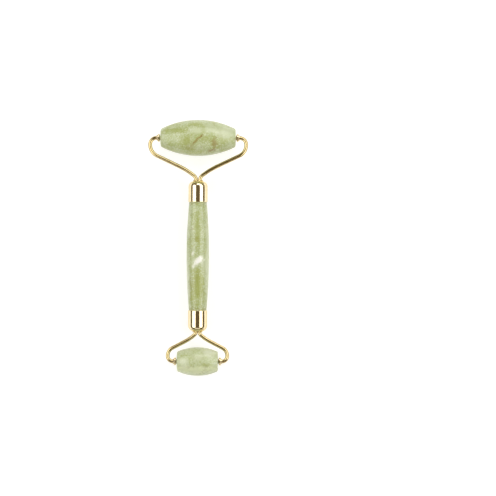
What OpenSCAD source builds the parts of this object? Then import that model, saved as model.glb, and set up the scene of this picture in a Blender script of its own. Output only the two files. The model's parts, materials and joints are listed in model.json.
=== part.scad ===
// Jade face roller: a barrel-shaped stone grip with a wire fork at each end.
// Each fork carries a barrel-shaped stone that spins on two turned-down wire tips.
// The grip lies along Y with the large roller at +Y, and both rollers spin about X.

/* [Stone grip] */
// Length of the grip that shows between the ferrules
grip_len = 61.2; // [50:0.1:75]
// Widest diameter of the grip, at its middle
grip_d = 12.8; // [11.5:0.1:15]
// Diameter of the grip where it meets each ferrule
grip_end_d = 10.0; // [9.6:0.1:11]
// Length of the turned tenon hidden in each ferrule
tenon_len = 5; // [4:0.1:6]

/* [Ferrules] */
// How far a ferrule's rim stands out round the end of the grip
rim_step = 0.4; // [0.2:0.1:0.7]
// Wall of the ferrule cup
ferrule_wall = 0.8; // [0.5:0.1:1]
// Length of a ferrule's straight side
ferrule_side_len = 8.7; // [8:0.1:11]
// Radius of the ferrule's rounded nose
nose_r = 3.2; // [2:0.1:3.8]
// Width of the flat ledge on the nose, round the crimp ring
nose_ledge = 0.5; // [0:0.1:0.8]
// Thickness of the metal at the ferrule's closed end
cap_t = 2.4; // [1.5:0.1:3]
// Wall of the crimp ring round the two wires
neck_ring_wall = 0.6; // [0.5:0.1:1]
// Height of the crimp ring
neck_ring_h = 0.8; // [0.6:0.1:1.4]

/* [Anchor posts] */
// Diameter of the post's grooved shank, bonded in the grip
shank_d = 4; // [3:0.1:5]
// Length of the shank
shank_len = 12; // [8:0.5:16]
// Number of glue grooves round the shank
groove_count = 4; // [2:1:5]
// Depth of each glue groove
groove_depth = 0.4; // [0.2:0.1:0.6]

/* [Wire] */
// Diameter of the fork wire
wire_d = 2.15; // [1.8:0.05:2.5]
// Diameter of the turned-down tip that the roller spins on
tip_d = 1.5; // [1.2:0.05:1.6]
// Length of the tip inside the roller
tip_reach = 6; // [4:0.5:7]

/* [Large fork] */
// Radius of the wire's first bend, above the crimp ring
large_neck_r = 3.2; // [2:0.1:5]
// Lean of the wire from the grip's axis after that bend, in degrees
large_neck_lean = 51.3; // [45:0.1:56]
// Radius of the long sweep of the arm
large_sweep_r = 42.5; // [30:0.5:60]
// Lean of the arm at the end of the sweep, in degrees
large_arm_lean = 64.5; // [60:0.1:70]
// Radius of the shoulder that turns the arm up
large_shoulder_r = 6.8; // [5:0.1:8]
// Straight stretch between the shoulder and the curl
large_rise = 0.25; // [0.2:0.05:3]
// Radius of the curl that turns the wire in to the axle
large_curl_r = 3.7; // [3:0.1:4.5]

/* [Small fork] */
// Radius of the wire's first bend, below the crimp ring
small_neck_r = 2; // [1.8:0.1:3]
// Lean of the wire from the grip's axis after that bend, in degrees
small_neck_lean = 49.3; // [45:0.1:55]
// Radius of the long sweep of the arm
small_sweep_r = 29; // [20:0.5:36]
// Lean of the arm at the end of the sweep, in degrees
small_arm_lean = 62.5; // [58:0.1:66]
// Radius of the shoulder that turns the arm down
small_shoulder_r = 4.95; // [4:0.05:6]
// Straight stretch between the shoulder and the curl
small_rise = 0.25; // [0.2:0.05:3]
// Radius of the curl that turns the wire in to the axle
small_curl_r = 3; // [2.5:0.1:3.5]

/* [Stop collars] */
// Diameter of the collar's flange
flange_d = 4.5; // [4:0.1:6]
// Thickness of the flange
flange_t = 1; // [0.6:0.1:1.2]
// Wall of the hub that takes the end of the wire
hub_wall = 0.5; // [0.3:0.1:0.8]
// Length of the hub
hub_len = 0.65; // [0.5:0.05:1.2]
// Length of the tapered boss that faces the stone
boss_len = 0.45; // [0.3:0.05:1]

/* [Rollers] */
// Length of the large roller
large_len = 42.5; // [36:0.5:52]
// Diameter of the large roller at its middle
large_d = 20.4; // [17:0.1:24.8]
// Diameter of the large roller's end faces, before their edge is rounded
large_end_d = 10; // [9:0.1:12]
// Radius of the large roller's rounded end edge
large_edge_r = 1.6; // [0.4:0.1:2]
// Length of the small roller
small_len = 23.2; // [19.2:0.1:28]
// Diameter of the small roller at its middle
small_d = 16.2; // [13.6:0.1:19]
// Diameter of the small roller's end faces, before their edge is rounded
small_end_d = 11; // [9:0.1:12]
// Radius of the small roller's rounded end edge
small_edge_r = 1.2; // [0.4:0.1:1.5]

/* [Bushings] */
// Wall of the nylon bushings
bushing_wall = 0.7; // [0.4:0.1:1]
// Length of a bushing
bushing_len = 7; // [5:0.5:9]

/* [Clearances] */
// Radial clearance of a wire tip in its bushing
running_gap = 0.05; // [0.02:0.01:0.1]
// Radial gap for glue, braze or a light press
bond_gap = 0.04; // [0.02:0.01:0.1]
// Radial glue gap round the anchor post's shank
glue_gap = 0.1; // [0.05:0.01:0.2]
// Axial play between a collar's boss and a bushing, on each side
end_play = 0.1; // [0.05:0.05:0.4]
// How far a bushing stands out of the stone's end face
bushing_proud = 0.05; // [0.05:0.05:0.2]

/* [Hidden] */

$fn = 96;
arc_fn = 720;

JADE = "#c3cfa8";
PALE_JADE = "#c9d3b6";
GOLD = "#dcc68c";
BRASS = "#b99a4b";
NYLON = "#f2f0e6";

// The two wires lie side by side in one round socket
leg_x = wire_d / 2 + bond_gap / 2;
socket_r = leg_x + wire_d / 2 + bond_gap;
neck_ring_r = socket_r + neck_ring_wall;

// Ferrule and anchor post, measured outwards from the ferrule's rim
ferrule_r = grip_end_d / 2 + rim_step;
nose_x = ferrule_r - nose_r;
nose_flat = neck_ring_r + nose_ledge - nose_x;
ferrule_len = ferrule_side_len + sqrt(nose_r * nose_r - nose_flat * nose_flat);
cavity_r = ferrule_r - ferrule_wall;
cavity_len = ferrule_len - cap_t;
tenon_d = 2 * (cavity_r - bond_gap);
post_floor = 0.6;
socket_floor = tenon_len + post_floor;
neck_top = ferrule_len + neck_ring_h;
leg_len = neck_top - socket_floor;
bore_depth = shank_len + 0.5;
groove_pitch = shank_len / (groove_count + 1);
groove_w = groove_pitch / 3;

// Stop collar, measured outwards from its face at the stone
collar_len = boss_len + flange_t + hub_len;
boss_tip_wall = 0.35;
hub_r = wire_d / 2 + bond_gap + hub_wall;
collar_chamfer = 0.2;
hub_socket = hub_len - 0.1;
end_gap = bushing_proud + end_play;
stub_len = end_gap + collar_len - hub_socket;

bushing_r = tip_d / 2 + running_gap + bushing_wall;
stone_bore_r = bushing_r + bond_gap;

// Where one stretch of an arm runs into the next
seam_step = 0.01;
seam_lap = 0.05;

// A fork: [neck radius, neck lean, sweep radius, arm lean, shoulder radius, rise, curl radius, roller length]
LARGE = [
    large_neck_r, large_neck_lean, large_sweep_r, large_arm_lean,
    large_shoulder_r, large_rise, large_curl_r, large_len
];
SMALL = [
    small_neck_r, small_neck_lean, small_sweep_r, small_arm_lean,
    small_shoulder_r, small_rise, small_curl_r, small_len
];

// Sideways distance from the grip's axis to the straight stretch beside the curl
function fork_half_w(f) = f[7] / 2 + end_gap + collar_len + f[6];

// Length of the straight run that brings the arm out to that distance
function run_len(f) =
    (fork_half_w(f) - leg_x - f[0] * (1 - cos(f[1])) - f[2] * (cos(f[1]) - cos(f[3]))
        - f[4] * (1 - cos(f[3]))) / sin(f[3]);

// Distance from the crimp ring to the roller's axle
function fork_reach(f) =
    f[0] * sin(f[1]) + f[2] * (sin(f[3]) - sin(f[1])) + run_len(f) * cos(f[3])
        + f[4] * sin(f[3]) + f[5] + f[6];

// Places along Y: the origin is midway between the two rollers' outer sides
large_span = grip_len / 2 + neck_top + fork_reach(LARGE) + large_d / 2;
small_span = grip_len / 2 + neck_top + fork_reach(SMALL) + small_d / 2;
grip_y = (small_span - large_span) / 2;
large_rim_y = grip_y + grip_len / 2;
small_rim_y = grip_y - grip_len / 2;
large_axle_y = large_rim_y + neck_top + fork_reach(LARGE);
small_axle_y = small_rim_y - neck_top - fork_reach(SMALL);

// Stands its children on a ferrule's rim, with +Z outwards along the grip
module at_large_rim() translate([0, large_rim_y, 0]) rotate([-90, 0, 0]) children();
module at_small_rim() translate([0, small_rim_y, 0]) rotate([90, 0, 0]) children();

// Lays its children's Z along the roller's axle, from the roller's end face outwards
module at_roller_end(axle_y, roller_len, side)
    translate([side * roller_len / 2, axle_y, 0]) rotate([0, side * 90, 0]) children();

// Half outline of a body that bulges along an arc, for turning about its long axis
module barrel_outline(length, d, end_d) {
    rise = (d - end_d) / 2;
    arc_r = (rise * rise + length * length / 4) / (2 * rise);
    intersection() {
        translate([d / 2 - arc_r, 0]) circle(r = arc_r, $fn = arc_fn);
        translate([0, -length / 2]) square([d, length]);
    }
}

// The waste outside a rounded end edge: it touches both the arc and the end face
module edge_waste(length, d, end_d, edge_r) {
    rise = (d - end_d) / 2;
    arc_r = (rise * rise + length * length / 4) / (2 * rise);
    edge_z = length / 2 - edge_r;
    edge_x = d / 2 - arc_r + sqrt((arc_r - edge_r) * (arc_r - edge_r) - edge_z * edge_z);
    touch = [edge_x - (d / 2 - arc_r), edge_z] * arc_r / (arc_r - edge_r) + [d / 2 - arc_r, 0];
    difference() {
        polygon([
            [edge_x, edge_z], [edge_x, length], [d, length],
            [edge_x + (touch[0] - edge_x) * 9, edge_z + (touch[1] - edge_z) * 9]
        ]);
        translate([edge_x, edge_z]) circle(r = edge_r);
    }
}

module roller_stone(length, d, end_d, edge_r) {
    difference() {
        rotate_extrude() difference() {
            barrel_outline(length, d, end_d);
            edge_waste(length, d, end_d, edge_r);
            mirror([0, 1]) edge_waste(length, d, end_d, edge_r);
        }
        cylinder(r = stone_bore_r, h = length + 2, center = true);
    }
}

module bushing() {
    difference() {
        cylinder(r = bushing_r, h = bushing_len);
        translate([0, 0, -1]) cylinder(r = tip_d / 2 + running_gap, h = bushing_len + 2);
    }
}

// Turned cup with a rounded nose, open at its rim and pierced for the wires
module ferrule() {
    rotate_extrude() difference() {
        union() {
            square([ferrule_r, ferrule_side_len]);
            square([nose_x, ferrule_len]);
            intersection() {
                translate([nose_x, ferrule_side_len]) circle(r = nose_r);
                square([ferrule_r, ferrule_len]);
            }
        }
        translate([0, -1]) square([cavity_r, cavity_len + 1]);
        square([socket_r, ferrule_len + 1]);
    }
}

// Bead-edged ring crimped round the two wires, seated on the ferrule's flat
module neck_ring() {
    bead_r = neck_ring_h / 2;
    translate([0, 0, ferrule_len]) rotate_extrude() difference() {
        union() {
            square([neck_ring_r - bead_r, neck_ring_h]);
            translate([neck_ring_r - bead_r, bead_r]) circle(r = bead_r);
        }
        square([socket_r, neck_ring_h]);
    }
}

// Headed post: the wires are brazed in its socket and its grooved shank is bonded in the grip
module anchor_post() {
    difference() {
        union() {
            translate([0, 0, tenon_len]) cylinder(r = cavity_r - bond_gap, h = cavity_len - tenon_len);
            translate([0, 0, tenon_len - shank_len]) cylinder(d = shank_d, h = shank_len);
        }
        translate([0, 0, socket_floor]) cylinder(r = socket_r, h = cavity_len);
        for (i = [1:groove_count])
            translate([0, 0, tenon_len - shank_len + i * groove_pitch - groove_w / 2])
                difference() {
                    cylinder(d = shank_d + 1, h = groove_w);
                    translate([0, 0, -1]) cylinder(d = shank_d - 2 * groove_depth, h = groove_w + 2);
                }
    }
}

// The stretches of an arm are full and thin by turns. A thin one is a hair slimmer and runs a
// little way into both neighbours, so that the whole arm is one clean solid.
function stretch_d(thin) = thin ? wire_d - 2 * seam_step : wire_d;
function lap(thin) = thin ? seam_lap : 0;

// A bend of the wire in the XY plane, about a centre at [cx, cy]
module wire_bend(cx, cy, r, from_angle, turn, thin = false) {
    lap_angle = asin(lap(thin) / r);
    translate([cx, cy, 0]) rotate([0, 0, from_angle - lap_angle])
        rotate_extrude(angle = turn + 2 * lap_angle) translate([r, 0]) circle(d = stretch_d(thin));
}

// A straight stretch of wire in the XY plane, leaning from +Y towards +X
module wire_straight(x, y, lean, length, thin = false)
    translate([x, y, 0]) rotate([-90, 0, -lean]) translate([0, 0, -lap(thin)])
        cylinder(d = stretch_d(thin), h = length + 2 * lap(thin));

// The right-hand arm of a fork, from its leg in the anchor post to its tip in the roller
module fork_arm(f) {
    neck_x = leg_x + f[0] * (1 - cos(f[1]));
    neck_y = neck_top + f[0] * sin(f[1]);
    run_x = neck_x + f[2] * (cos(f[1]) - cos(f[3]));
    run_y = neck_y + f[2] * (sin(f[3]) - sin(f[1]));
    shoulder_y = run_y + run_len(f) * cos(f[3]) + f[4] * sin(f[3]);
    curl_y = shoulder_y + f[5];
    axle_y = curl_y + f[6];
    half_w = fork_half_w(f);
    curl_end_x = half_w - f[6];
    wire_straight(leg_x, socket_floor, 0, leg_len);
    wire_bend(leg_x + f[0], neck_top, f[0], 180 - f[1], f[1], thin = true);
    wire_bend(
        neck_x + f[2] * cos(f[1]), neck_y - f[2] * sin(f[1]),
        f[2], 180 - f[3], f[3] - f[1]
    );
    wire_straight(run_x, run_y, f[3], run_len(f), thin = true);
    wire_bend(half_w - f[4], shoulder_y, f[4], -f[3], f[3]);
    wire_straight(half_w, shoulder_y, 0, f[5], thin = true);
    wire_bend(curl_end_x, curl_y, f[6], 0, 90);
    wire_straight(curl_end_x, axle_y, -90, hub_socket, thin = true);
    translate([curl_end_x, axle_y, 0]) rotate([0, -90, 0])
        cylinder(d = tip_d, h = hub_socket + stub_len + tip_reach);
}

// Turned collar brazed on the wire: a boss at the stone, a flange and a hub
module stop_collar() {
    flange_top = boss_len + flange_t;
    socket_z = collar_len - hub_socket - seam_lap;
    translate([0, 0, end_gap]) rotate_extrude() polygon([
        [tip_d / 2 + bond_gap, 0],
        [tip_d / 2 + boss_tip_wall, 0],
        [hub_r, boss_len],
        [flange_d / 2 - collar_chamfer, boss_len],
        [flange_d / 2, boss_len + collar_chamfer],
        [flange_d / 2, flange_top - collar_chamfer],
        [flange_d / 2 - collar_chamfer, flange_top],
        [hub_r, flange_top],
        [hub_r, collar_len],
        [wire_d / 2 + bond_gap, collar_len],
        [wire_d / 2 + bond_gap, socket_z],
        [tip_d / 2 + bond_gap, socket_z]
    ]);
}

module handle_stone() {
    color(JADE) translate([0, grip_y, 0]) rotate([-90, 0, 0]) difference() {
        union() {
            rotate_extrude() barrel_outline(grip_len, grip_d, grip_end_d);
            cylinder(d = tenon_d, h = grip_len + 2 * tenon_len, center = true);
        }
        for (side = [-1, 1])
            translate([0, 0, side * (grip_len / 2 + tenon_len - bore_depth / 2)])
                cylinder(d = shank_d + 2 * glue_gap, h = bore_depth, center = true);
    }
}

module large_ferrule() color(GOLD) at_large_rim() ferrule();
module small_ferrule() color(GOLD) at_small_rim() ferrule();

module large_anchor_post() color(BRASS) at_large_rim() anchor_post();
module small_anchor_post() color(BRASS) at_small_rim() anchor_post();

module large_neck_ring() color(GOLD) at_large_rim() neck_ring();
module small_neck_ring() color(GOLD) at_small_rim() neck_ring();

module large_arm_right() color(GOLD) translate([0, large_rim_y, 0]) fork_arm(LARGE);
module large_arm_left() mirror([1, 0, 0]) large_arm_right();
module small_arm_right()
    color(GOLD) translate([0, small_rim_y, 0]) mirror([0, 1, 0]) fork_arm(SMALL);
module small_arm_left() mirror([1, 0, 0]) small_arm_right();

module large_collar_left() color(GOLD) at_roller_end(large_axle_y, large_len, -1) stop_collar();
module large_collar_right() color(GOLD) at_roller_end(large_axle_y, large_len, 1) stop_collar();
module small_collar_left() color(GOLD) at_roller_end(small_axle_y, small_len, -1) stop_collar();
module small_collar_right() color(GOLD) at_roller_end(small_axle_y, small_len, 1) stop_collar();

module large_roller_stone() {
    color(JADE) translate([0, large_axle_y, 0]) rotate([0, 90, 0])
        roller_stone(large_len, large_d, large_end_d, large_edge_r);
}
module small_roller_stone() {
    color(PALE_JADE) translate([0, small_axle_y, 0]) rotate([0, 90, 0])
        roller_stone(small_len, small_d, small_end_d, small_edge_r);
}

// A bushing stands just out of the end face and runs inwards
module set_bushing(axle_y, roller_len, side)
    color(NYLON) at_roller_end(axle_y, roller_len, side)
        translate([0, 0, bushing_proud - bushing_len]) bushing();

module large_bushing_left() set_bushing(large_axle_y, large_len, -1);
module large_bushing_right() set_bushing(large_axle_y, large_len, 1);
module small_bushing_left() set_bushing(small_axle_y, small_len, -1);
module small_bushing_right() set_bushing(small_axle_y, small_len, 1);

handle_stone();
large_ferrule();
small_ferrule();
large_anchor_post();
small_anchor_post();
large_neck_ring();
small_neck_ring();
large_arm_left();
large_arm_right();
small_arm_left();
small_arm_right();
large_collar_left();
large_collar_right();
small_collar_left();
small_collar_right();
large_roller_stone();
large_bushing_left();
large_bushing_right();
small_roller_stone();
small_bushing_left();
small_bushing_right();
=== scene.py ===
import json
import math

import bmesh
import bpy
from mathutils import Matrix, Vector


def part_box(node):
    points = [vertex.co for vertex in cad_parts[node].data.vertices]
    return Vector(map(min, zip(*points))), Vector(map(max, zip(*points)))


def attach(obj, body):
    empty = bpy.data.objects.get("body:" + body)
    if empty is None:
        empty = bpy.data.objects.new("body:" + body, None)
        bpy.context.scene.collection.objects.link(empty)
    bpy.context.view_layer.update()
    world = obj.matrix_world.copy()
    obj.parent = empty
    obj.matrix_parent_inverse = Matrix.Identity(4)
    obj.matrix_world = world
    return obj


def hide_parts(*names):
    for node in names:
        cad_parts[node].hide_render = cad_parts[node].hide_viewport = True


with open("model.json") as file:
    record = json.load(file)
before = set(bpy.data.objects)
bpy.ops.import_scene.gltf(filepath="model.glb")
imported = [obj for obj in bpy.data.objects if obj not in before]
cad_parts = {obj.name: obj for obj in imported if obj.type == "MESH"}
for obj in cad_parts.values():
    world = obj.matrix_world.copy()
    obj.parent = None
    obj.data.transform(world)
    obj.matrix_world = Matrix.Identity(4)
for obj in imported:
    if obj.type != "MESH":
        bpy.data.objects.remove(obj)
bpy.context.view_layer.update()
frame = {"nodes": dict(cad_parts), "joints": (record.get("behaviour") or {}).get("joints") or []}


# ---- The stone grip ---------------------------------------------------------------------
# A long barrel of pale green jade, cut on a grinding lathe and polished to a soft gloss.
# A slimmer tenon at each end hides in a ferrule, and a blind hole there takes the anchor post.

mm = 0.001
touching = 0.0005 * mm  # points closer than this are joined

grip_low, grip_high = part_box("handle_stone")
grip_y = (grip_low.y + grip_high.y) / 2
grip_r = grip_high.z
tenon_len = 5 * mm
grip_half = (grip_high.y - grip_low.y) / 2 - tenon_len
grip_end_r = 5 * mm
tenon_r = 4.56 * mm
tenon_edge_r = 0.4 * mm
post_hole_r = 2.1 * mm
post_hole_depth = 12.5 * mm


def start_outline(name, place):
    """A new object with a single point, from which an outline is drawn."""
    bpy.ops.object.select_all(action="DESELECT")
    bpy.ops.mesh.primitive_plane_add(size=mm, location=place)
    piece = bpy.context.object
    piece.name = name
    bpy.ops.object.transform_apply(location=True)
    bpy.ops.object.mode_set(mode="EDIT")
    bpy.ops.mesh.select_all(action="SELECT")
    bpy.ops.mesh.merge(type="CENTER")
    return piece


def line_to(*places):
    """Draws straight lines on from the outline's last point."""
    for place in places:
        shape = bmesh.from_edit_mesh(bpy.context.object.data)
        last = next(v.co for v in shape.verts if v.select)
        step = Vector(place) - last
        bpy.ops.mesh.extrude_vertices_move(TRANSFORM_OT_translate={"value": step})


def arc_about(centre, axis, degrees, steps):
    """Swings the outline's last point, or a wire's last face, about a centre."""
    bpy.ops.mesh.spin(steps=steps, angle=-math.radians(degrees), center=centre, axis=axis)


def select_points(piece, chosen):
    """Selects, in edit mode, the points whose place passes the test."""
    bpy.ops.mesh.select_all(action="DESELECT")
    shape = bmesh.from_edit_mesh(piece.data)
    for v in shape.verts:
        v.select = chosen(v.co)
    shape.select_flush_mode()
    bmesh.update_edit_mesh(piece.data)


def ease_corner(piece, place, radius, steps=4):
    """Rounds one corner of an outline before it is turned."""
    select_points(piece, lambda co: (co - Vector(place)).length < 2 * touching)
    bpy.ops.mesh.bevel(offset=radius, segments=steps, affect="VERTICES")


def join_ends():
    """Joins doubled points, such as an outline's first and last, and selects everything."""
    bpy.ops.mesh.select_all(action="SELECT")
    bpy.ops.mesh.remove_doubles(threshold=touching)


def close_up():
    """Joins a finished shape's seams and points all its faces outwards."""
    join_ends()
    bpy.ops.mesh.normals_make_consistent(inside=False)
    bpy.ops.object.mode_set(mode="OBJECT")
    bpy.ops.object.shade_smooth_by_angle(angle=math.radians(32))


def turn_about(centre, axis, steps):
    """Turns the finished outline once round, as on a lathe."""
    join_ends()
    bpy.ops.mesh.spin(steps=steps, angle=math.tau, center=centre, axis=axis)
    close_up()


def barrel_radius(half_len, mid_r, end_r):
    """Radius of the long arc along a barrel's side."""
    rise = mid_r - end_r
    return (rise * rise + half_len * half_len) / (2 * rise)


def on_grip(y, r):
    """A point of the grip's outline: y from its middle, and r from its axis."""
    return (0, grip_y + y, r)


side_r = barrel_radius(grip_half, grip_r, grip_end_r)
side_turn = 2 * math.degrees(math.asin(grip_half / side_r))
hole_floor = grip_half + tenon_len - post_hole_depth
grip = start_outline("polished_jade_grip", on_grip(-hole_floor, 0))
line_to(
    on_grip(-hole_floor, post_hole_r), on_grip(-grip_half - tenon_len, post_hole_r),
    on_grip(-grip_half - tenon_len, tenon_r), on_grip(-grip_half, tenon_r),
    on_grip(-grip_half, grip_end_r),
)
arc_about(on_grip(0, grip_r - side_r), (-1, 0, 0), side_turn, steps=64)
line_to(
    on_grip(grip_half, tenon_r), on_grip(grip_half + tenon_len, tenon_r),
    on_grip(grip_half + tenon_len, post_hole_r), on_grip(hole_floor, post_hole_r),
    on_grip(hole_floor, 0),
)
for end in (-1, 1):
    ease_corner(grip, on_grip(end * (grip_half + tenon_len), tenon_r), tenon_edge_r)
turn_about(on_grip(0, 0), (0, 1, 0), steps=160)


class Shade:
    """A value, colour or place that varies through a material, with Python's own operators."""

    def __init__(self, material, socket=None):
        self.material, self.socket = material, socket

    def node(self, kind, settings=None, sockets=None, out=0):
        """Adds any node: its settings first, then the values or links of its sockets."""
        tree = self.material.node_tree
        made = tree.nodes.new(kind)
        for key, value in (settings or {}).items():
            setattr(made, key, value)
        for key, value in (sockets or {}).items():
            if isinstance(value, Shade):
                tree.links.new(value.socket, made.inputs[key])
            else:
                made.inputs[key].default_value = value
        return Shade(self.material, made.outputs[out])

    def maths(self, operation, *values):
        return self.node("ShaderNodeMath", {"operation": operation}, dict(enumerate(values)))

    def __add__(self, other):
        return self.maths("ADD", self, other)

    def __sub__(self, other):
        return self.maths("SUBTRACT", self, other)

    def __rsub__(self, other):
        return self.maths("SUBTRACT", other, self)

    def __mul__(self, other):
        return self.maths("MULTIPLY", self, other)

    __radd__, __rmul__ = __add__, __mul__

    def size(self):
        """This value without its sign."""
        return self.maths("ABSOLUTE", self)

    def fade(self, start, end):
        """0 at start and 1 at end, eased between them."""
        return self.node(
            "ShaderNodeMapRange", {"interpolation_type": "SMOOTHSTEP"},
            {"Value": self, "From Min": start, "From Max": end},
        )

    def moved(self, offset=(0, 0, 0), turn=(0, 0, 0), scale=(1, 1, 1)):
        """This place measured from another centre, with its own turn and stretch."""
        return self.node(
            "ShaderNodeMapping", {"vector_type": "TEXTURE"},
            {"Vector": self, "Location": offset, "Rotation": turn, "Scale": scale},
        )

    def cloud(self, grain, detail=3.0, rough=0.5):
        """Smooth noise over this place, whose lumps are about one grain across."""
        return self.node("ShaderNodeTexNoise", {}, {
            "Vector": self, "Scale": 1 / grain, "Detail": detail, "Roughness": rough})

    def length(self):
        """How far this place lies from its centre."""
        return self.node("ShaderNodeVectorMath", {"operation": "LENGTH"}, {0: self}, "Value")

    def part(self, axis):
        """One of this place's three parts."""
        return self.node("ShaderNodeSeparateXYZ", {}, {0: self}, axis)

    def between(self, colour, other):
        """One colour where this mask is 0, and the other where it is 1."""
        # Among the many sockets of a Mix node, 6 and 7 take its two colours and 2 gives the mix.
        return self.node(
            "ShaderNodeMix", {"data_type": "RGBA"}, {0: self, 6: colour, 7: other}, 2)

    def over(self, mask, colour):
        """This colour with another laid over it where the mask is 1."""
        return mask.between(self, colour)

    def dents(self, depth, strength):
        """The surface directions of a bump whose height is this value."""
        return self.node("ShaderNodeBump", {}, {
            "Strength": strength, "Distance": depth, "Height": self})


def new_finish(name):
    """An empty material with its shader, and the place on the piece that its pattern reads."""
    material = bpy.data.materials.new(name)
    material.use_nodes = True
    shade = Shade(material)
    place = shade.node("ShaderNodeTexCoord", out="Object")
    return shade, material.node_tree.nodes["Principled BSDF"], place


def feed(shader, socket, value):
    """Links a varying value to one of the shader's own sockets."""
    value.material.node_tree.links.new(value.socket, shader.inputs[socket])


milky_green = (0.448, 0.517, 0.256, 1)
grass_green = (0.365, 0.415, 0.115, 1)
pale_milk = (0.560, 0.620, 0.400, 1)
olive = (0.290, 0.275, 0.070, 1)
frost = (0.700, 0.740, 0.560, 1)
chalk = (0.920, 0.920, 0.860, 1)


def jade_finish(name, spots=(), streaks=(), body=milky_green, cloudiness=0.8):
    """Polished jade of a body colour, with green clouds as strong as its cloudiness. A spot is
    (centre, half sizes, colour, strength) and a streak is (one end, other end, half width,
    colour, strength), all measured on the stone itself."""
    swirl_size, swirl_push = 3.5 * mm, 2.6 * mm
    streak_depth = 9 * mm
    shade, shader, place = new_finish(name)

    # The stone's layers are folded, so its clouds read a place that a swirl has pushed about.
    swirl = shade.node("ShaderNodeTexNoise", {}, {
        "Vector": place, "Scale": 1 / swirl_size, "Detail": 3.0}, "Color")
    warped = shade.node("ShaderNodeVectorMath", {"operation": "MULTIPLY_ADD"}, {
        0: swirl, 1: (swirl_push,) * 3, 2: place}).moved((swirl_push / 2,) * 3)
    lay = warped.moved(turn=(0, 0, 0.7), scale=(1.7, 1.0, 1.3))
    milk = warped.cloud(6 * mm, 4.0, 0.6)
    green = lay.cloud(4 * mm, 5.0, 0.62)
    fleck = lay.cloud(1.1 * mm, 4.0, 0.65)
    grain = place.cloud(0.35 * mm, 2.0, 0.5)
    mottle = place.cloud(0.75 * mm, 3.0, 0.75)

    # Pale milk and green clouds, under a fine mottle of green and frost.
    colour = milk.fade(0.42, 0.68).between(body, pale_milk)
    colour = colour.over(green.fade(0.46, 0.68) * cloudiness, grass_green)
    colour = colour.over(fleck.fade(0.54, 0.76) * (0.55 * cloudiness), grass_green)
    colour = colour.over((1 - mottle.fade(0.35, 0.50)) * 0.65, grass_green)
    colour = colour.over(mottle.fade(0.50, 0.67) * 0.55, frost)

    # The listed spots, with ragged edges, then thin broken veins. Most spots are marks on the
    # stone; a few are painted light on a stone's flanks.
    for centre, halves, tint, strength in spots:
        reach = warped.moved(centre, scale=halves).length()
        ragged = reach + (fleck - 0.5) * 1.4 + (mottle - 0.5) * 2.2
        colour = colour.over((1 - ragged.fade(0.35, 1.25)) * strength, tint)
    vein = (lay.moved((0, 5 * mm, 2 * mm)).cloud(6 * mm, 4.0, 0.55) - 0.5).size()
    broken = warped.cloud(4 * mm, 2.0).fade(0.52, 0.62)
    colour = colour.over((1 - vein.fade(0.0, 0.014)) * broken * 0.5, olive)

    # Its streaks and cracks, with a little pale grain over all.
    for one, other, half_w, tint, strength in streaks:
        one, other = Vector(one), Vector(other)
        along = (other - one).length / 2
        turn = math.atan2(other.y - one.y, other.x - one.x)
        reach = warped.moved(
            (one + other) / 2, turn=(0, 0, turn), scale=(along, half_w, streak_depth)).length()
        ragged = reach + (fleck - 0.5) * 1.2 + (mottle - 0.5) * 0.8
        colour = colour.over((1 - ragged.fade(0.3, 1.2)) * strength, tint)
    colour = colour.over(grain.fade(0.56, 0.8) * 0.2, chalk)

    # A hand polish leaves faint waves, and the stone lets a little light in under its gloss.
    feed(shader, "Base Color", colour)
    feed(shader, "Roughness", 0.20 + 0.10 * grain + 0.10 * green)
    hand_polish = place.cloud(5 * mm, 2.0) + 0.05 * place.cloud(0.5 * mm, 2.0)
    feed(shader, "Normal", hand_polish.dents(depth=0.08 * mm, strength=0.35))
    shader.inputs["IOR"].default_value = 1.56
    shader.inputs["Subsurface Weight"].default_value = 0.2
    shader.inputs["Subsurface Radius"].default_value = (1.0, 1.1, 0.7)
    shader.inputs["Subsurface Scale"].default_value = 0.8 * mm
    shader.inputs["Coat Weight"].default_value = 0.2
    shader.inputs["Coat Roughness"].default_value = 0.06
    return shade.material


def wear(piece, material, body):
    """Gives a piece its one material and its body."""
    piece.data.materials.clear()
    piece.data.materials.append(material)
    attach(piece, body)


def stone_place(x, y, z):
    """A place on the grip in millimetres, from its middle."""
    return (x * mm, grip_y + y * mm, z * mm)


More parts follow.
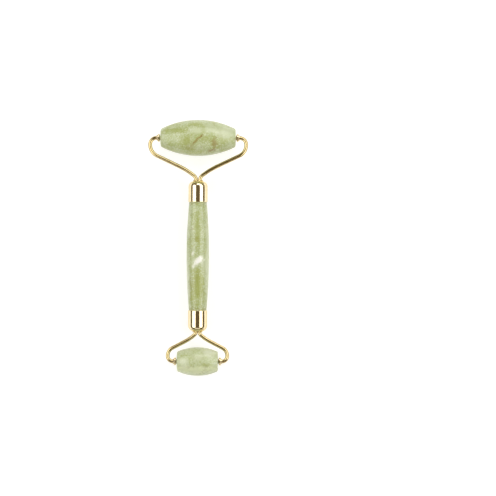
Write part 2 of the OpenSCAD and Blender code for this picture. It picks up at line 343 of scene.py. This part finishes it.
grip_jade = jade_finish(
    "grip_jade",
    spots=[
        (stone_place(0, 9.5, 6), (1.6 * mm, 1.8 * mm, 4 * mm), olive, 0.7),
        (stone_place(-3.2, 15.5, 6), (0.7 * mm, 0.9 * mm, 4 * mm), olive, 0.5),
        (stone_place(0, 15, 6), (2.2 * mm, 12 * mm, 4 * mm), grass_green, 0.6),
        (stone_place(-0.1, -14.0, 6), (2.2 * mm, 7.5 * mm, 4 * mm), olive, 0.65),
        (stone_place(0, -17, 6), (3.8 * mm, 13 * mm, 5 * mm), grass_green, 0.8),
        (stone_place(-4, -18, 4), (2.5 * mm, 8 * mm, 4 * mm), olive, 0.25),
        (stone_place(-2.8, -23, 6), (1.6 * mm, 6 * mm, 4 * mm), grass_green, 0.7),
        (stone_place(2.4, -15, 6), (1.6 * mm, 7 * mm, 4 * mm), grass_green, 0.6),
        (stone_place(4.4, -4.3, 4), (2.4 * mm, 3.4 * mm, 4 * mm), pale_milk, 0.9),
        # A frost band down the left flank and a pale milk band down the right are painted
        # highlights, for the light the grip's sides catch.
        (stone_place(-6.6, -16, 1), (2.8 * mm, 16 * mm, 5 * mm), frost, 0.75),
        (stone_place(6.6, -4, 2), (2.0 * mm, 26 * mm, 5 * mm), pale_milk, 0.9),
        (stone_place(0, 30.6, 0), (8 * mm, 3 * mm, 8 * mm), olive, 0.4),
        (stone_place(0, -30.6, 0), (8 * mm, 3 * mm, 8 * mm), olive, 0.5),
    ],
    streaks=[
        (stone_place(-4.0, -6.8, 6), stone_place(4.2, 1.0, 6), 2.6 * mm, pale_milk, 0.8),
        (stone_place(-2.7, -6.2, 6), stone_place(2.7, 0.2, 6), 1.3 * mm, chalk, 0.8),
        (stone_place(-1.2, -5.0, 6), stone_place(2.3, 0.1, 6), 2.0 * mm, chalk, 1.0),
        (stone_place(-3.4, 0.4, 6), stone_place(-1.6, 2.8, 6), 0.9 * mm, chalk, 0.5),
        (stone_place(3.0, -2.9, 6), stone_place(4.6, -1.3, 6), 0.6 * mm, chalk, 0.45),
    ],
    body=(0.425, 0.490, 0.245, 1), cloudiness=0.45,
)
wear(grip, grip_jade, "frame")
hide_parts("handle_stone")


# ---- The anchor posts -------------------------------------------------------------------
# Plain brass pins with glue grooves, bonded in the grip's two ends. The fork wires are
# brazed into them, and the ferrules cover them, so only their raw turned finish matters.

shade, shader, place = new_finish("raw_turned_brass")
tool_mark = shade.node(
    "ShaderNodeTexNoise", {"noise_dimensions": "1D"},
    {"W": place.part("Y"), "Scale": 1 / (0.12 * mm), "Detail": 2.0})
tarnish = place.cloud(1.5 * mm, 3.0)
fresh_brass = (0.60, 0.44, 0.17, 1)
dull_brass = (0.42, 0.29, 0.10, 1)
feed(shader, "Base Color", tarnish.between(fresh_brass, dull_brass))
feed(shader, "Roughness", 0.26 + 0.2 * tarnish)
feed(shader, "Normal", tool_mark.dents(depth=0.02 * mm, strength=0.4))
shader.inputs["Metallic"].default_value = 1.0
for node in ("large_anchor_post", "small_anchor_post"):
    post = frame["nodes"][node]
    post.data.materials.clear()
    post.data.materials.append(shade.material)


# ---- The ferrules -----------------------------------------------------------------------
# Cups turned from brass, rounded at the nose, polished bright and plated a pale warm gold.
# Each is pushed over a tenon of the grip, and its nose is pierced for the two wires.

ferrule_low, ferrule_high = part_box("large_ferrule")
large_rim_y = ferrule_low.y
ferrule_r = ferrule_high.x
ferrule_len = ferrule_high.y - ferrule_low.y
ferrule_side = 8.7 * mm
ferrule_wall = 0.8 * mm
nose_r = 3.2 * mm
cap_t = 2.4 * mm
socket_r = 2.21 * mm
ring_r = 2.81 * mm
ledge = 0.5 * mm
rim_edge_r = 0.22 * mm
cup_edge_r = 0.1 * mm
ledge_edge_r = 0.12 * mm


def past_rim(y, r):
    """A point of the large ferrule's outline: y past its open rim, and r from its axis."""
    return (0, large_rim_y + y, r)


nose_turn = math.degrees(math.acos((ring_r + ledge - ferrule_r + nose_r) / nose_r))
cup_r = ferrule_r - ferrule_wall
ferrule_large = start_outline("gold_ferrule_large", past_rim(0, cup_r))
line_to(past_rim(0, ferrule_r), past_rim(ferrule_side, ferrule_r))
arc_about(past_rim(ferrule_side, ferrule_r - nose_r), (-1, 0, 0), nose_turn, steps=20)
line_to(
    past_rim(ferrule_len, socket_r), past_rim(ferrule_len - cap_t, socket_r),
    past_rim(ferrule_len - cap_t, cup_r), past_rim(0, cup_r),
)
join_ends()
ease_corner(ferrule_large, past_rim(0, ferrule_r), rim_edge_r, steps=6)
ease_corner(ferrule_large, past_rim(0, cup_r), cup_edge_r, steps=3)
ease_corner(ferrule_large, past_rim(ferrule_len, ring_r + ledge), ledge_edge_r)
turn_about(past_rim(0, 0), (0, 1, 0), steps=128)


def copy_of(piece, name):
    """A copy with its own mesh."""
    bpy.ops.object.select_all(action="DESELECT")
    piece.select_set(True)
    bpy.context.view_layer.objects.active = piece
    bpy.ops.object.duplicate(linked=False)
    made = bpy.context.object
    made.name = name
    return made


def mirrored(piece, across, middle=(0, 0, 0)):
    """Turns a copy into its mirror image across X or Y, about a middle point."""
    flip = {"X": (-1, 1, 1), "Y": (1, -1, 1)}[across]
    bpy.ops.object.mode_set(mode="EDIT")
    bpy.ops.mesh.select_all(action="SELECT")
    bpy.ops.transform.resize(value=flip, center_override=middle)
    close_up()
    return piece


ferrule_small = mirrored(copy_of(ferrule_large, "gold_ferrule_small"), "Y", (0, grip_y, 0))


def gold_finish(name, pale, deep, rim):
    """Bright gold plate: a hair of polishing haze, and faint drifts of a deeper gold."""
    shade, shader, place = new_finish(name)
    haze = place.cloud(0.6 * mm, 4.0, 0.6)
    drift = place.cloud(4 * mm, 2.0)
    depth_of_gold = drift.fade(0.35, 0.65) * 0.5 + haze * 0.2
    feed(shader, "Base Color", depth_of_gold.between(pale, deep))
    feed(shader, "Roughness", 0.07 + 0.07 * haze + 0.03 * drift)
    polish = haze + 0.5 * place.cloud(0.15 * mm)
    feed(shader, "Normal", polish.dents(depth=0.01 * mm, strength=0.3))
    shader.inputs["Metallic"].default_value = 1.0
    shader.inputs["Specular Tint"].default_value = rim
    return shade.material


gold_plate = gold_finish(
    "pale_gold_plate", (0.910, 0.800, 0.540, 1), (0.840, 0.700, 0.410, 1),
    rim=(0.86, 0.79, 0.62, 1))
for piece, node in ((ferrule_large, "large_ferrule"), (ferrule_small, "small_ferrule")):
    wear(piece, gold_plate, "frame")
    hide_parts(node)


# ---- The fork wires ---------------------------------------------------------------------
# Four lengths of half-hard brass wire, bent over forming pins and gold plated. Each leg is
# brazed in an anchor post, and the far end is turned down to the tip that a roller spins on.

wire_d = 2.15 * mm
tip_d = 1.5 * mm
tip_len = 6 * mm
leg_x = 1.095 * mm
leg_foot = 5.6 * mm
neck_top = 12.5 * mm
hub_grip = 0.55 * mm
tip_edge_r = 0.15 * mm
wire_sides = 40
axle_y = {joint["name"]: joint["pos_m"][1] for joint in frame["joints"]}
large_axle_y = axle_y["large_roller_spin"]
small_axle_y = axle_y["small_roller_spin"]


def bend_wire(name, node, way, roller_end, neck_r, neck_lean, sweep_r, arm_lean,
              shoulder_r, curl_r):
    """The right-hand wire of the fork on the large end (way 1) or the small end (way -1).
    It sets out along the grip, leans out at the neck, sweeps gently wider along the arm,
    turns back at the shoulder, and curls in to the tip that the roller spins on."""
    low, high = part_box(node)
    straight_x = high.x - wire_d / 2
    rim_y = grip_y + way * grip_half
    bpy.ops.object.select_all(action="DESELECT")
    bpy.ops.mesh.primitive_circle_add(
        vertices=wire_sides, radius=wire_d / 2, fill_type="NGON",
        location=(leg_x, rim_y + way * leg_foot, 0), rotation=(math.radians(-90 * way), 0, 0),
    )
    piece = bpy.context.object
    piece.name = name
    bpy.ops.object.transform_apply(location=True, rotation=True)
    bpy.ops.object.mode_set(mode="EDIT")
    bpy.ops.mesh.select_all(action="SELECT")

    def straight(x, y):
        bpy.ops.mesh.extrude_region_move(TRANSFORM_OT_translate={"value": (x, y, 0)})

    def bend(centre, degrees, outwards, steps):
        turn_way = way * (-1 if outwards else 1)
        arc_about((*centre, 0), (0, 0, turn_way), degrees, steps)

    def toward(lean):
        """Which way the wire runs when it leans outwards by so many degrees."""
        return Vector((math.sin(math.radians(lean)), way * math.cos(math.radians(lean))))

    def beside(lean):
        """Square to that, on the wire's outer side."""
        return Vector((math.cos(math.radians(lean)), -way * math.sin(math.radians(lean))))

    neck_start = Vector((leg_x, rim_y + way * neck_top))
    neck_end = neck_start + neck_r * (beside(0) - beside(neck_lean))
    sweep_centre = neck_end + sweep_r * beside(neck_lean)
    sweep_end = sweep_centre - sweep_r * beside(arm_lean)
    shoulder_drop = shoulder_r * (1 - math.cos(math.radians(arm_lean)))
    run = (straight_x - shoulder_drop - sweep_end.x) / math.sin(math.radians(arm_lean))
    shoulder_centre = sweep_end + run * toward(arm_lean) - shoulder_r * beside(arm_lean)
    curl_y = (high.y if way == 1 else low.y) - way * (wire_d / 2 + curl_r)

    straight(0, way * (neck_top - leg_foot))
    bend((leg_x + neck_r, neck_start.y), neck_lean, outwards=True, steps=18)
    bend(sweep_centre, arm_lean - neck_lean, outwards=True, steps=8)
    straight(*(run * toward(arm_lean)))
    bend(shoulder_centre, arm_lean, outwards=False, steps=24)
    straight(0, curl_y - shoulder_centre.y)
    bend((straight_x - curl_r, curl_y), 90, outwards=False, steps=30)
    straight(-hub_grip, 0)
    bpy.ops.mesh.inset(thickness=(wire_d - tip_d) / 2)
    tip_x = roller_end - tip_len
    straight(tip_x - (straight_x - curl_r - hub_grip), 0)
    bpy.ops.mesh.bevel(offset=tip_edge_r, segments=2, affect="EDGES")
    close_up()
    return piece


large_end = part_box("large_roller_stone")[1].x
small_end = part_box("small_roller_stone")[1].x
wires = {
    "large_arm_right": bend_wire(
        "fork_wire_large_right", "large_arm_right", 1, large_end,
        neck_r=3.2 * mm, neck_lean=51.3, sweep_r=42.5 * mm, arm_lean=64.5,
        shoulder_r=6.8 * mm, curl_r=3.7 * mm),
    "small_arm_right": bend_wire(
        "fork_wire_small_right", "small_arm_right", -1, small_end,
        neck_r=2 * mm, neck_lean=49.3, sweep_r=29 * mm, arm_lean=62.5,
        shoulder_r=4.95 * mm, curl_r=3 * mm),
}
wires["large_arm_left"] = mirrored(copy_of(wires["large_arm_right"], "fork_wire_large_left"), "X")
wires["small_arm_left"] = mirrored(copy_of(wires["small_arm_right"], "fork_wire_small_left"), "X")
# The wires get a darker copy of the plate gold, with a darker rim: painted shade for the dark
# lines on thin gold.
wire_gold_painted_shade = gold_finish(
    "gold_wire_painted_shade", (0.760, 0.640, 0.350, 1), (0.640, 0.510, 0.240, 1),
    rim=(0.50, 0.40, 0.20, 1))
for node, piece in wires.items():
    wear(piece, wire_gold_painted_shade, "frame")
    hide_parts(node)


# ---- The crimp rings --------------------------------------------------------------------
# A small bead-edged ring of brass, slipped over the two wires of a fork and squeezed down
# against the ferrule's nose, where it hides the wires' entry. It is plated along with them.

ring_low, ring_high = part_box("large_neck_ring")
bead_r = 0.38 * mm
ring_large = start_outline("crimp_ring_large", (0, ring_low.y, socket_r))
line_to(
    (0, ring_low.y, ring_high.x), (0, ring_high.y, ring_high.x), (0, ring_high.y, socket_r),
    (0, ring_low.y, socket_r),
)
join_ends()
ease_corner(ring_large, (0, ring_low.y, ring_high.x), bead_r, steps=6)
ease_corner(ring_large, (0, ring_high.y, ring_high.x), bead_r, steps=6)
turn_about((0, ring_low.y, 0), (0, 1, 0), steps=96)
ring_small = mirrored(copy_of(ring_large, "crimp_ring_small"), "Y", (0, grip_y, 0))
# The rings wear the wires' darker gold, painted shade as on the wires.
for piece, node in ((ring_large, "large_neck_ring"), (ring_small, "small_neck_ring")):
    wear(piece, wire_gold_painted_shade, "frame")
    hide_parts(node)


# ---- The stop collars -------------------------------------------------------------------
# Turned and plated like the ferrules, and brazed on the shoulder of each wire tip. The flange
# keeps the roller in place, and the tapered boss faces the stone's bushing with a little play.

collar_low, collar_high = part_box("large_collar_right")
flange_r = collar_high.z
hub_r = 1.615 * mm
boss_len = 0.45 * mm
flange_t = 1 * mm
boss_wall = 0.35 * mm
braze_gap = 0.04 * mm
braze_pool = 0.05 * mm
flange_edge_r = 0.2 * mm
boss_edge_r = 0.05 * mm
hub_edge_r = 0.08 * mm
boss_tip_r = tip_d / 2 + boss_wall
tip_hole_r = tip_d / 2 + braze_gap
wire_hole_r = wire_d / 2 + braze_gap
hub_floor = hub_grip + braze_pool


def on_collar(x, r):
    """A point of the collar's outline: x outwards from its boss, and r from its axis."""
    return (collar_low.x + x, large_axle_y, r)


collar_len = collar_high.x - collar_low.x
collar_right = start_outline("stop_collar_large_right", on_collar(0, tip_hole_r))
line_to(
    on_collar(0, boss_tip_r), on_collar(boss_len, hub_r), on_collar(boss_len, flange_r),
    on_collar(boss_len + flange_t, flange_r), on_collar(boss_len + flange_t, hub_r),
    on_collar(collar_len, hub_r), on_collar(collar_len, wire_hole_r),
    on_collar(collar_len - hub_floor, wire_hole_r), on_collar(collar_len - hub_floor, tip_hole_r),
    on_collar(0, tip_hole_r),
)
join_ends()
ease_corner(collar_right, on_collar(boss_len, flange_r), flange_edge_r)
ease_corner(collar_right, on_collar(boss_len + flange_t, flange_r), flange_edge_r)
ease_corner(collar_right, on_collar(0, boss_tip_r), boss_edge_r, steps=2)
ease_corner(collar_right, on_collar(collar_len, hub_r), hub_edge_r, steps=3)
turn_about(on_collar(0, 0), (1, 0, 0), steps=96)


def slid(piece, x, y):
    """Moves a copy's mesh along X and Y."""
    bpy.ops.object.mode_set(mode="EDIT")
    bpy.ops.mesh.select_all(action="SELECT")
    bpy.ops.transform.translate(value=(x, y, 0))
    bpy.ops.object.mode_set(mode="OBJECT")
    return piece


to_small = (small_end - large_end, small_axle_y - large_axle_y)
collars = {"large_collar_right": collar_right}
collars["small_collar_right"] = slid(copy_of(collar_right, "stop_collar_small_right"), *to_small)
for size in ("large", "small"):
    collars[size + "_collar_left"] = mirrored(
        copy_of(collars[size + "_collar_right"], f"stop_collar_{size}_left"), "X")
for node, piece in collars.items():
    wear(piece, gold_plate, "frame")
    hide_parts(node)


# ---- The two rollers --------------------------------------------------------------------
# Barrels of the same jade as the grip, ground to a curve, eased at the end edges, drilled
# right through and polished. The small one is cut from a paler, quieter part of the stone,
# and a band of painted light lies along its lower side.

bore_r = 1.54 * mm
bore_edge_r = 0.12 * mm
umber = (0.330, 0.265, 0.085, 1)
rust = (0.255, 0.180, 0.050, 1)
# The pale green below is painted light, laid along the small roller's lower side.
painted_light_green = (0.700, 0.765, 0.480, 1)


def turn_roller(name, node, pin_y, end_r, edge_r):
    """A stone turned about its pin: its barrel runs from the middle's radius to end_r, and
    edge_r is the round where the side meets the flat end."""
    low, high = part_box(node)
    half_len, mid_r = high.x, high.z
    side_r = barrel_radius(half_len, mid_r, end_r)
    edge_x = half_len - edge_r
    edge_z = mid_r - side_r + math.sqrt((side_r - edge_r) ** 2 - edge_x ** 2)
    edge_turn = math.degrees(math.atan2(edge_z - mid_r + side_r, edge_x))
    forward = (0, 1, 0)
    piece = start_outline(name, (-half_len, pin_y, bore_r))
    line_to((-half_len, pin_y, edge_z))
    arc_about((-edge_x, pin_y, edge_z), forward, edge_turn, steps=12)
    arc_about((0, pin_y, mid_r - side_r), forward, 180 - 2 * edge_turn, steps=72)
    arc_about((edge_x, pin_y, edge_z), forward, edge_turn, steps=12)
    line_to((half_len, pin_y, bore_r), (-half_len, pin_y, bore_r))
    join_ends()
    for end in (-1, 1):
        ease_corner(piece, (end * half_len, pin_y, bore_r), bore_edge_r, steps=3)
    turn_about((0, pin_y, 0), (1, 0, 0), steps=192)
    return piece


def on_large(x, y, z=8.0):
    """A place on the large roller in millimetres, from its middle."""
    return (x * mm, large_axle_y + y * mm, z * mm)


def on_small(x, y, z=6.5):
    """A place on the small roller in millimetres, from its middle."""
    return (x * mm, small_axle_y + y * mm, z * mm)


large_roller = turn_roller(
    "jade_roller_large", "large_roller_stone", large_axle_y, end_r=5 * mm, edge_r=1.6 * mm)
large_jade = jade_finish(
    "large_roller_jade",
    spots=[
        (on_large(-12.8, 3.4), (5.2 * mm, 1.8 * mm, 5 * mm), grass_green, 0.65),
        (on_large(-8.4, 3.0), (4.0 * mm, 1.6 * mm, 5 * mm), grass_green, 0.5),
        (on_large(3.5, -1.1), (4.0 * mm, 2.6 * mm, 5 * mm), grass_green, 0.65),
        (on_large(-2.4, 7.2), (4.0 * mm, 1.5 * mm, 5 * mm), grass_green, 0.75),
        (on_large(-0.4, 3.2), (3.2 * mm, 1.9 * mm, 5 * mm), pale_milk, 0.7),
        (on_large(16.0, 3.8), (6.5 * mm, 5.4 * mm, 6 * mm), pale_milk, 0.8),
        (on_large(17.2, 3.6), (5.0 * mm, 3.4 * mm, 6 * mm), frost, 0.25),
        (on_large(7.0, 5.0), (3.5 * mm, 3.0 * mm, 5 * mm), pale_milk, 0.7),
        (on_large(-6.2, -2.4), (3.6 * mm, 3.0 * mm, 5 * mm), grass_green, 0.8),
        (on_large(-4.6, -6.0, 7), (2.8 * mm, 1.6 * mm, 4 * mm), umber, 0.3),
        (on_large(14.2, -2.6), (3.2 * mm, 1.6 * mm, 5 * mm), grass_green, 0.6),
        (on_large(9.2, -2.6), (2.4 * mm, 4.2 * mm, 4 * mm), grass_green, 0.8),
        (on_large(9.4, -3.6), (1.5 * mm, 3.0 * mm, 4 * mm), umber, 0.75),
        (on_large(9.3, -7.5, 7), (0.9 * mm, 0.8 * mm, 3 * mm), rust, 0.8),
    ],
    streaks=[
        (on_large(3.4, 1.8), on_large(-4.6, -6.2), 1.5 * mm, grass_green, 0.7),
        (on_large(3.2, 1.5), on_large(-4.2, -5.8), 0.8 * mm, umber, 0.9),
        (on_large(3.2, 1.6), on_large(0.2, -2.0), 0.4 * mm, rust, 0.8),
        (on_large(10.6, 0.4), on_large(10.2, -1.4), 0.35 * mm, rust, 0.6),
        (on_large(5.6, -8.3, 6), on_large(9.6, -6.4, 6), 0.7 * mm, umber, 0.8),
        (on_large(6.6, -7.8, 6), on_large(9.4, -6.5, 6), 0.35 * mm, rust, 0.6),
    ],
)
wear(large_roller, large_jade, "large_roller")
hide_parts("large_roller_stone")

small_roller = turn_roller(
    "jade_roller_small", "small_roller_stone", small_axle_y, end_r=5.5 * mm, edge_r=1.2 * mm)
small_jade = jade_finish(
    "small_roller_jade",
    spots=[
        (on_small(-8.0, 0.8), (3.6 * mm, 1.8 * mm, 4 * mm), frost, 0.5),
        (on_small(7.4, 5.8, 5), (5.0 * mm, 3.0 * mm, 5 * mm), frost, 0.7),
        (on_small(0.5, 2.6), (4.2 * mm, 1.6 * mm, 4 * mm), frost, 0.5),
        (on_small(-6.7, -3.0), (4.2 * mm, 1.8 * mm, 4 * mm), frost, 0.7),
        (on_small(1.5, -2.4), (2.6 * mm, 1.0 * mm, 4 * mm), grass_green, 0.4),
        (on_small(4.6, -1.5), (4.2 * mm, 1.3 * mm, 4 * mm), grass_green, 0.65),
        (on_small(1.2, -2.8), (1.4 * mm, 1.0 * mm, 4 * mm), olive, 0.4),
        (on_small(6.6, -2.4), (1.6 * mm, 0.8 * mm, 4 * mm), grass_green, 0.8),
        # A pale band along the lower side is painted light, for the light the roller's lower
        # flank catches.
        (on_small(0, -4.4, 6), (20 * mm, 2.8 * mm, 5 * mm), painted_light_green, 1.0),
    ],
    body=(0.530, 0.600, 0.355, 1), cloudiness=0.55,
)
wear(small_roller, small_jade, "small_roller")
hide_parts("small_roller_stone")


# ---- The bushings -----------------------------------------------------------------------
# Short sleeves of natural nylon, pressed into both ends of each stone. They stand a hair
# proud of it, so that the collars rub on nylon and not on jade.

bush_low, bush_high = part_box("large_bushing_right")
bush_r = bush_high.z
running_gap = 0.05 * mm
lead_in = 0.2 * mm
bush_edge_r = 0.08 * mm
bush_hole_r = tip_d / 2 + running_gap
bush_right = start_outline("nylon_bushing_large_right", (bush_low.x, large_axle_y, bush_hole_r))
line_to(
    (bush_low.x, large_axle_y, bush_r), (bush_high.x, large_axle_y, bush_r),
    (bush_high.x, large_axle_y, bush_hole_r), (bush_low.x, large_axle_y, bush_hole_r),
)
join_ends()
ease_corner(bush_right, (bush_low.x, large_axle_y, bush_r), lead_in, steps=1)
ease_corner(bush_right, (bush_high.x, large_axle_y, bush_hole_r), bush_edge_r, steps=2)
turn_about((0, large_axle_y, 0), (1, 0, 0), steps=64)

shade, shader, place = new_finish("natural_nylon")
mould_haze = place.cloud(0.8 * mm, 3.0)
clear_nylon = (0.80, 0.78, 0.70, 1)
cloudy_nylon = (0.72, 0.70, 0.60, 1)
feed(shader, "Base Color", mould_haze.between(clear_nylon, cloudy_nylon))
feed(shader, "Roughness", 0.35 + 0.15 * mould_haze)
feed(shader, "Normal", mould_haze.dents(depth=0.02 * mm, strength=0.3))
shader.inputs["Subsurface Weight"].default_value = 0.2
shader.inputs["Subsurface Scale"].default_value = 0.5 * mm

bushings = {"large_bushing_right": bush_right}
bushings["small_bushing_right"] = slid(
    copy_of(bush_right, "nylon_bushing_small_right"), *to_small)
for size in ("large", "small"):
    bushings[size + "_bushing_left"] = mirrored(
        copy_of(bushings[size + "_bushing_right"], f"nylon_bushing_{size}_left"), "X")
for node, piece in bushings.items():
    wear(piece, shade.material, node.split("_")[0] + "_roller")
    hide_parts(node)


# ---- The table --------------------------------------------------------------------------
# A plain white sheet, evenly lit from below. The two rollers lie on it, and because the large
# one is thicker it is set at the slight slope that touches both.

table_side = 3.0
bpy.ops.object.select_all(action="DESELECT")
bpy.ops.mesh.primitive_grid_add(x_subdivisions=4, y_subdivisions=4, size=table_side)
table = bpy.context.object
table.name = "table"
large_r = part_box("large_roller_stone")[1].z
small_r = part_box("small_roller_stone")[1].z
slope = (large_r - small_r) / (large_axle_y - small_axle_y)
table.rotation_euler.x = -math.atan(slope)
table.location = (0, 0, -large_r * math.sqrt(1 + slope ** 2) + slope * large_axle_y)
shade, shader, place = new_finish("white_table")
sheet_white = (0.52, 0.52, 0.516, 1)
sheet_shade = (0.50, 0.50, 0.496, 1)
sheet_cloud = place.cloud(60 * mm, 2.0)
feed(shader, "Base Color", sheet_cloud.between(sheet_white, sheet_shade))
shader.inputs["Roughness"].default_value = 0.8
shader.inputs["Emission Color"].default_value = (1, 1, 1, 1)
shader.inputs["Emission Strength"].default_value = 0.64
table.data.materials.append(shade.material)


# ---- The lights and the camera ----------------------------------------------------------
# Two long soft boxes stand left and right of the grip, with a dark gap overhead. A third
# leans in past the large roller, a little to the right, and a weak fourth past the small one.
# The camera looks straight down, from over the bare table to the right of the grip.

room = bpy.data.worlds.new("studio_room")
bpy.context.scene.world = room
room.use_nodes = True
shade = Shade(room)
warm_dusk = (1.0, 0.76, 0.45, 1)
pale_paper = (0.95, 0.95, 0.94, 1)
dim = shade.node("ShaderNodeBackground", {}, {"Color": warm_dusk, "Strength": 0.14})
backdrop = shade.node("ShaderNodeBackground", {}, {"Color": pale_paper})
seen = shade.node("ShaderNodeLightPath", out="Is Camera Ray")
walls = shade.node("ShaderNodeMixShader", {}, {0: seen, 1: dim, 2: backdrop})
room.node_tree.links.new(
    walls.socket, room.node_tree.nodes["World Output"].inputs["Surface"])
bpy.context.scene.view_settings.view_transform = "Standard"

lamp_distance = 0.5


def soft_box(name, towards, from_top, wide, long, glow):
    """A rectangular light that faces the object. It stands on the side that is towards
    degrees round from +X, and from_top degrees down from overhead. A larger one of the
    same glow gives more light."""
    data = bpy.data.lights.new(name, "AREA")
    data.shape = "RECTANGLE"
    data.size, data.size_y = wide, long
    data.energy = glow * math.pi * wide * long
    lamp = bpy.data.objects.new(name, data)
    bpy.context.scene.collection.objects.link(lamp)
    lamp.rotation_euler = (0, math.radians(from_top), math.radians(towards))
    lamp.location = lamp.rotation_euler.to_matrix() @ Vector((0, 0, lamp_distance))


soft_box("soft_box_right", towards=0, from_top=44, wide=0.33, long=0.65, glow=2.3)
soft_box("soft_box_left", towards=180, from_top=44, wide=0.36, long=0.65, glow=2.3)
soft_box("soft_box_top", towards=74, from_top=52, wide=0.27, long=0.42, glow=2.5)
soft_box("soft_box_low", towards=270, from_top=56, wide=0.20, long=0.50, glow=0.75)

view_right = 28.4 * mm
camera_height = 0.78
camera_roll = math.radians(0.2)
lens = bpy.data.cameras.new("camera")
lens.lens, lens.sensor_width = 100, 36
camera = bpy.data.objects.new("camera", lens)
bpy.context.scene.collection.objects.link(camera)
camera.location = (view_right, 0, camera_height)
camera.rotation_euler = (0, 0, camera_roll)
bpy.context.scene.camera = camera
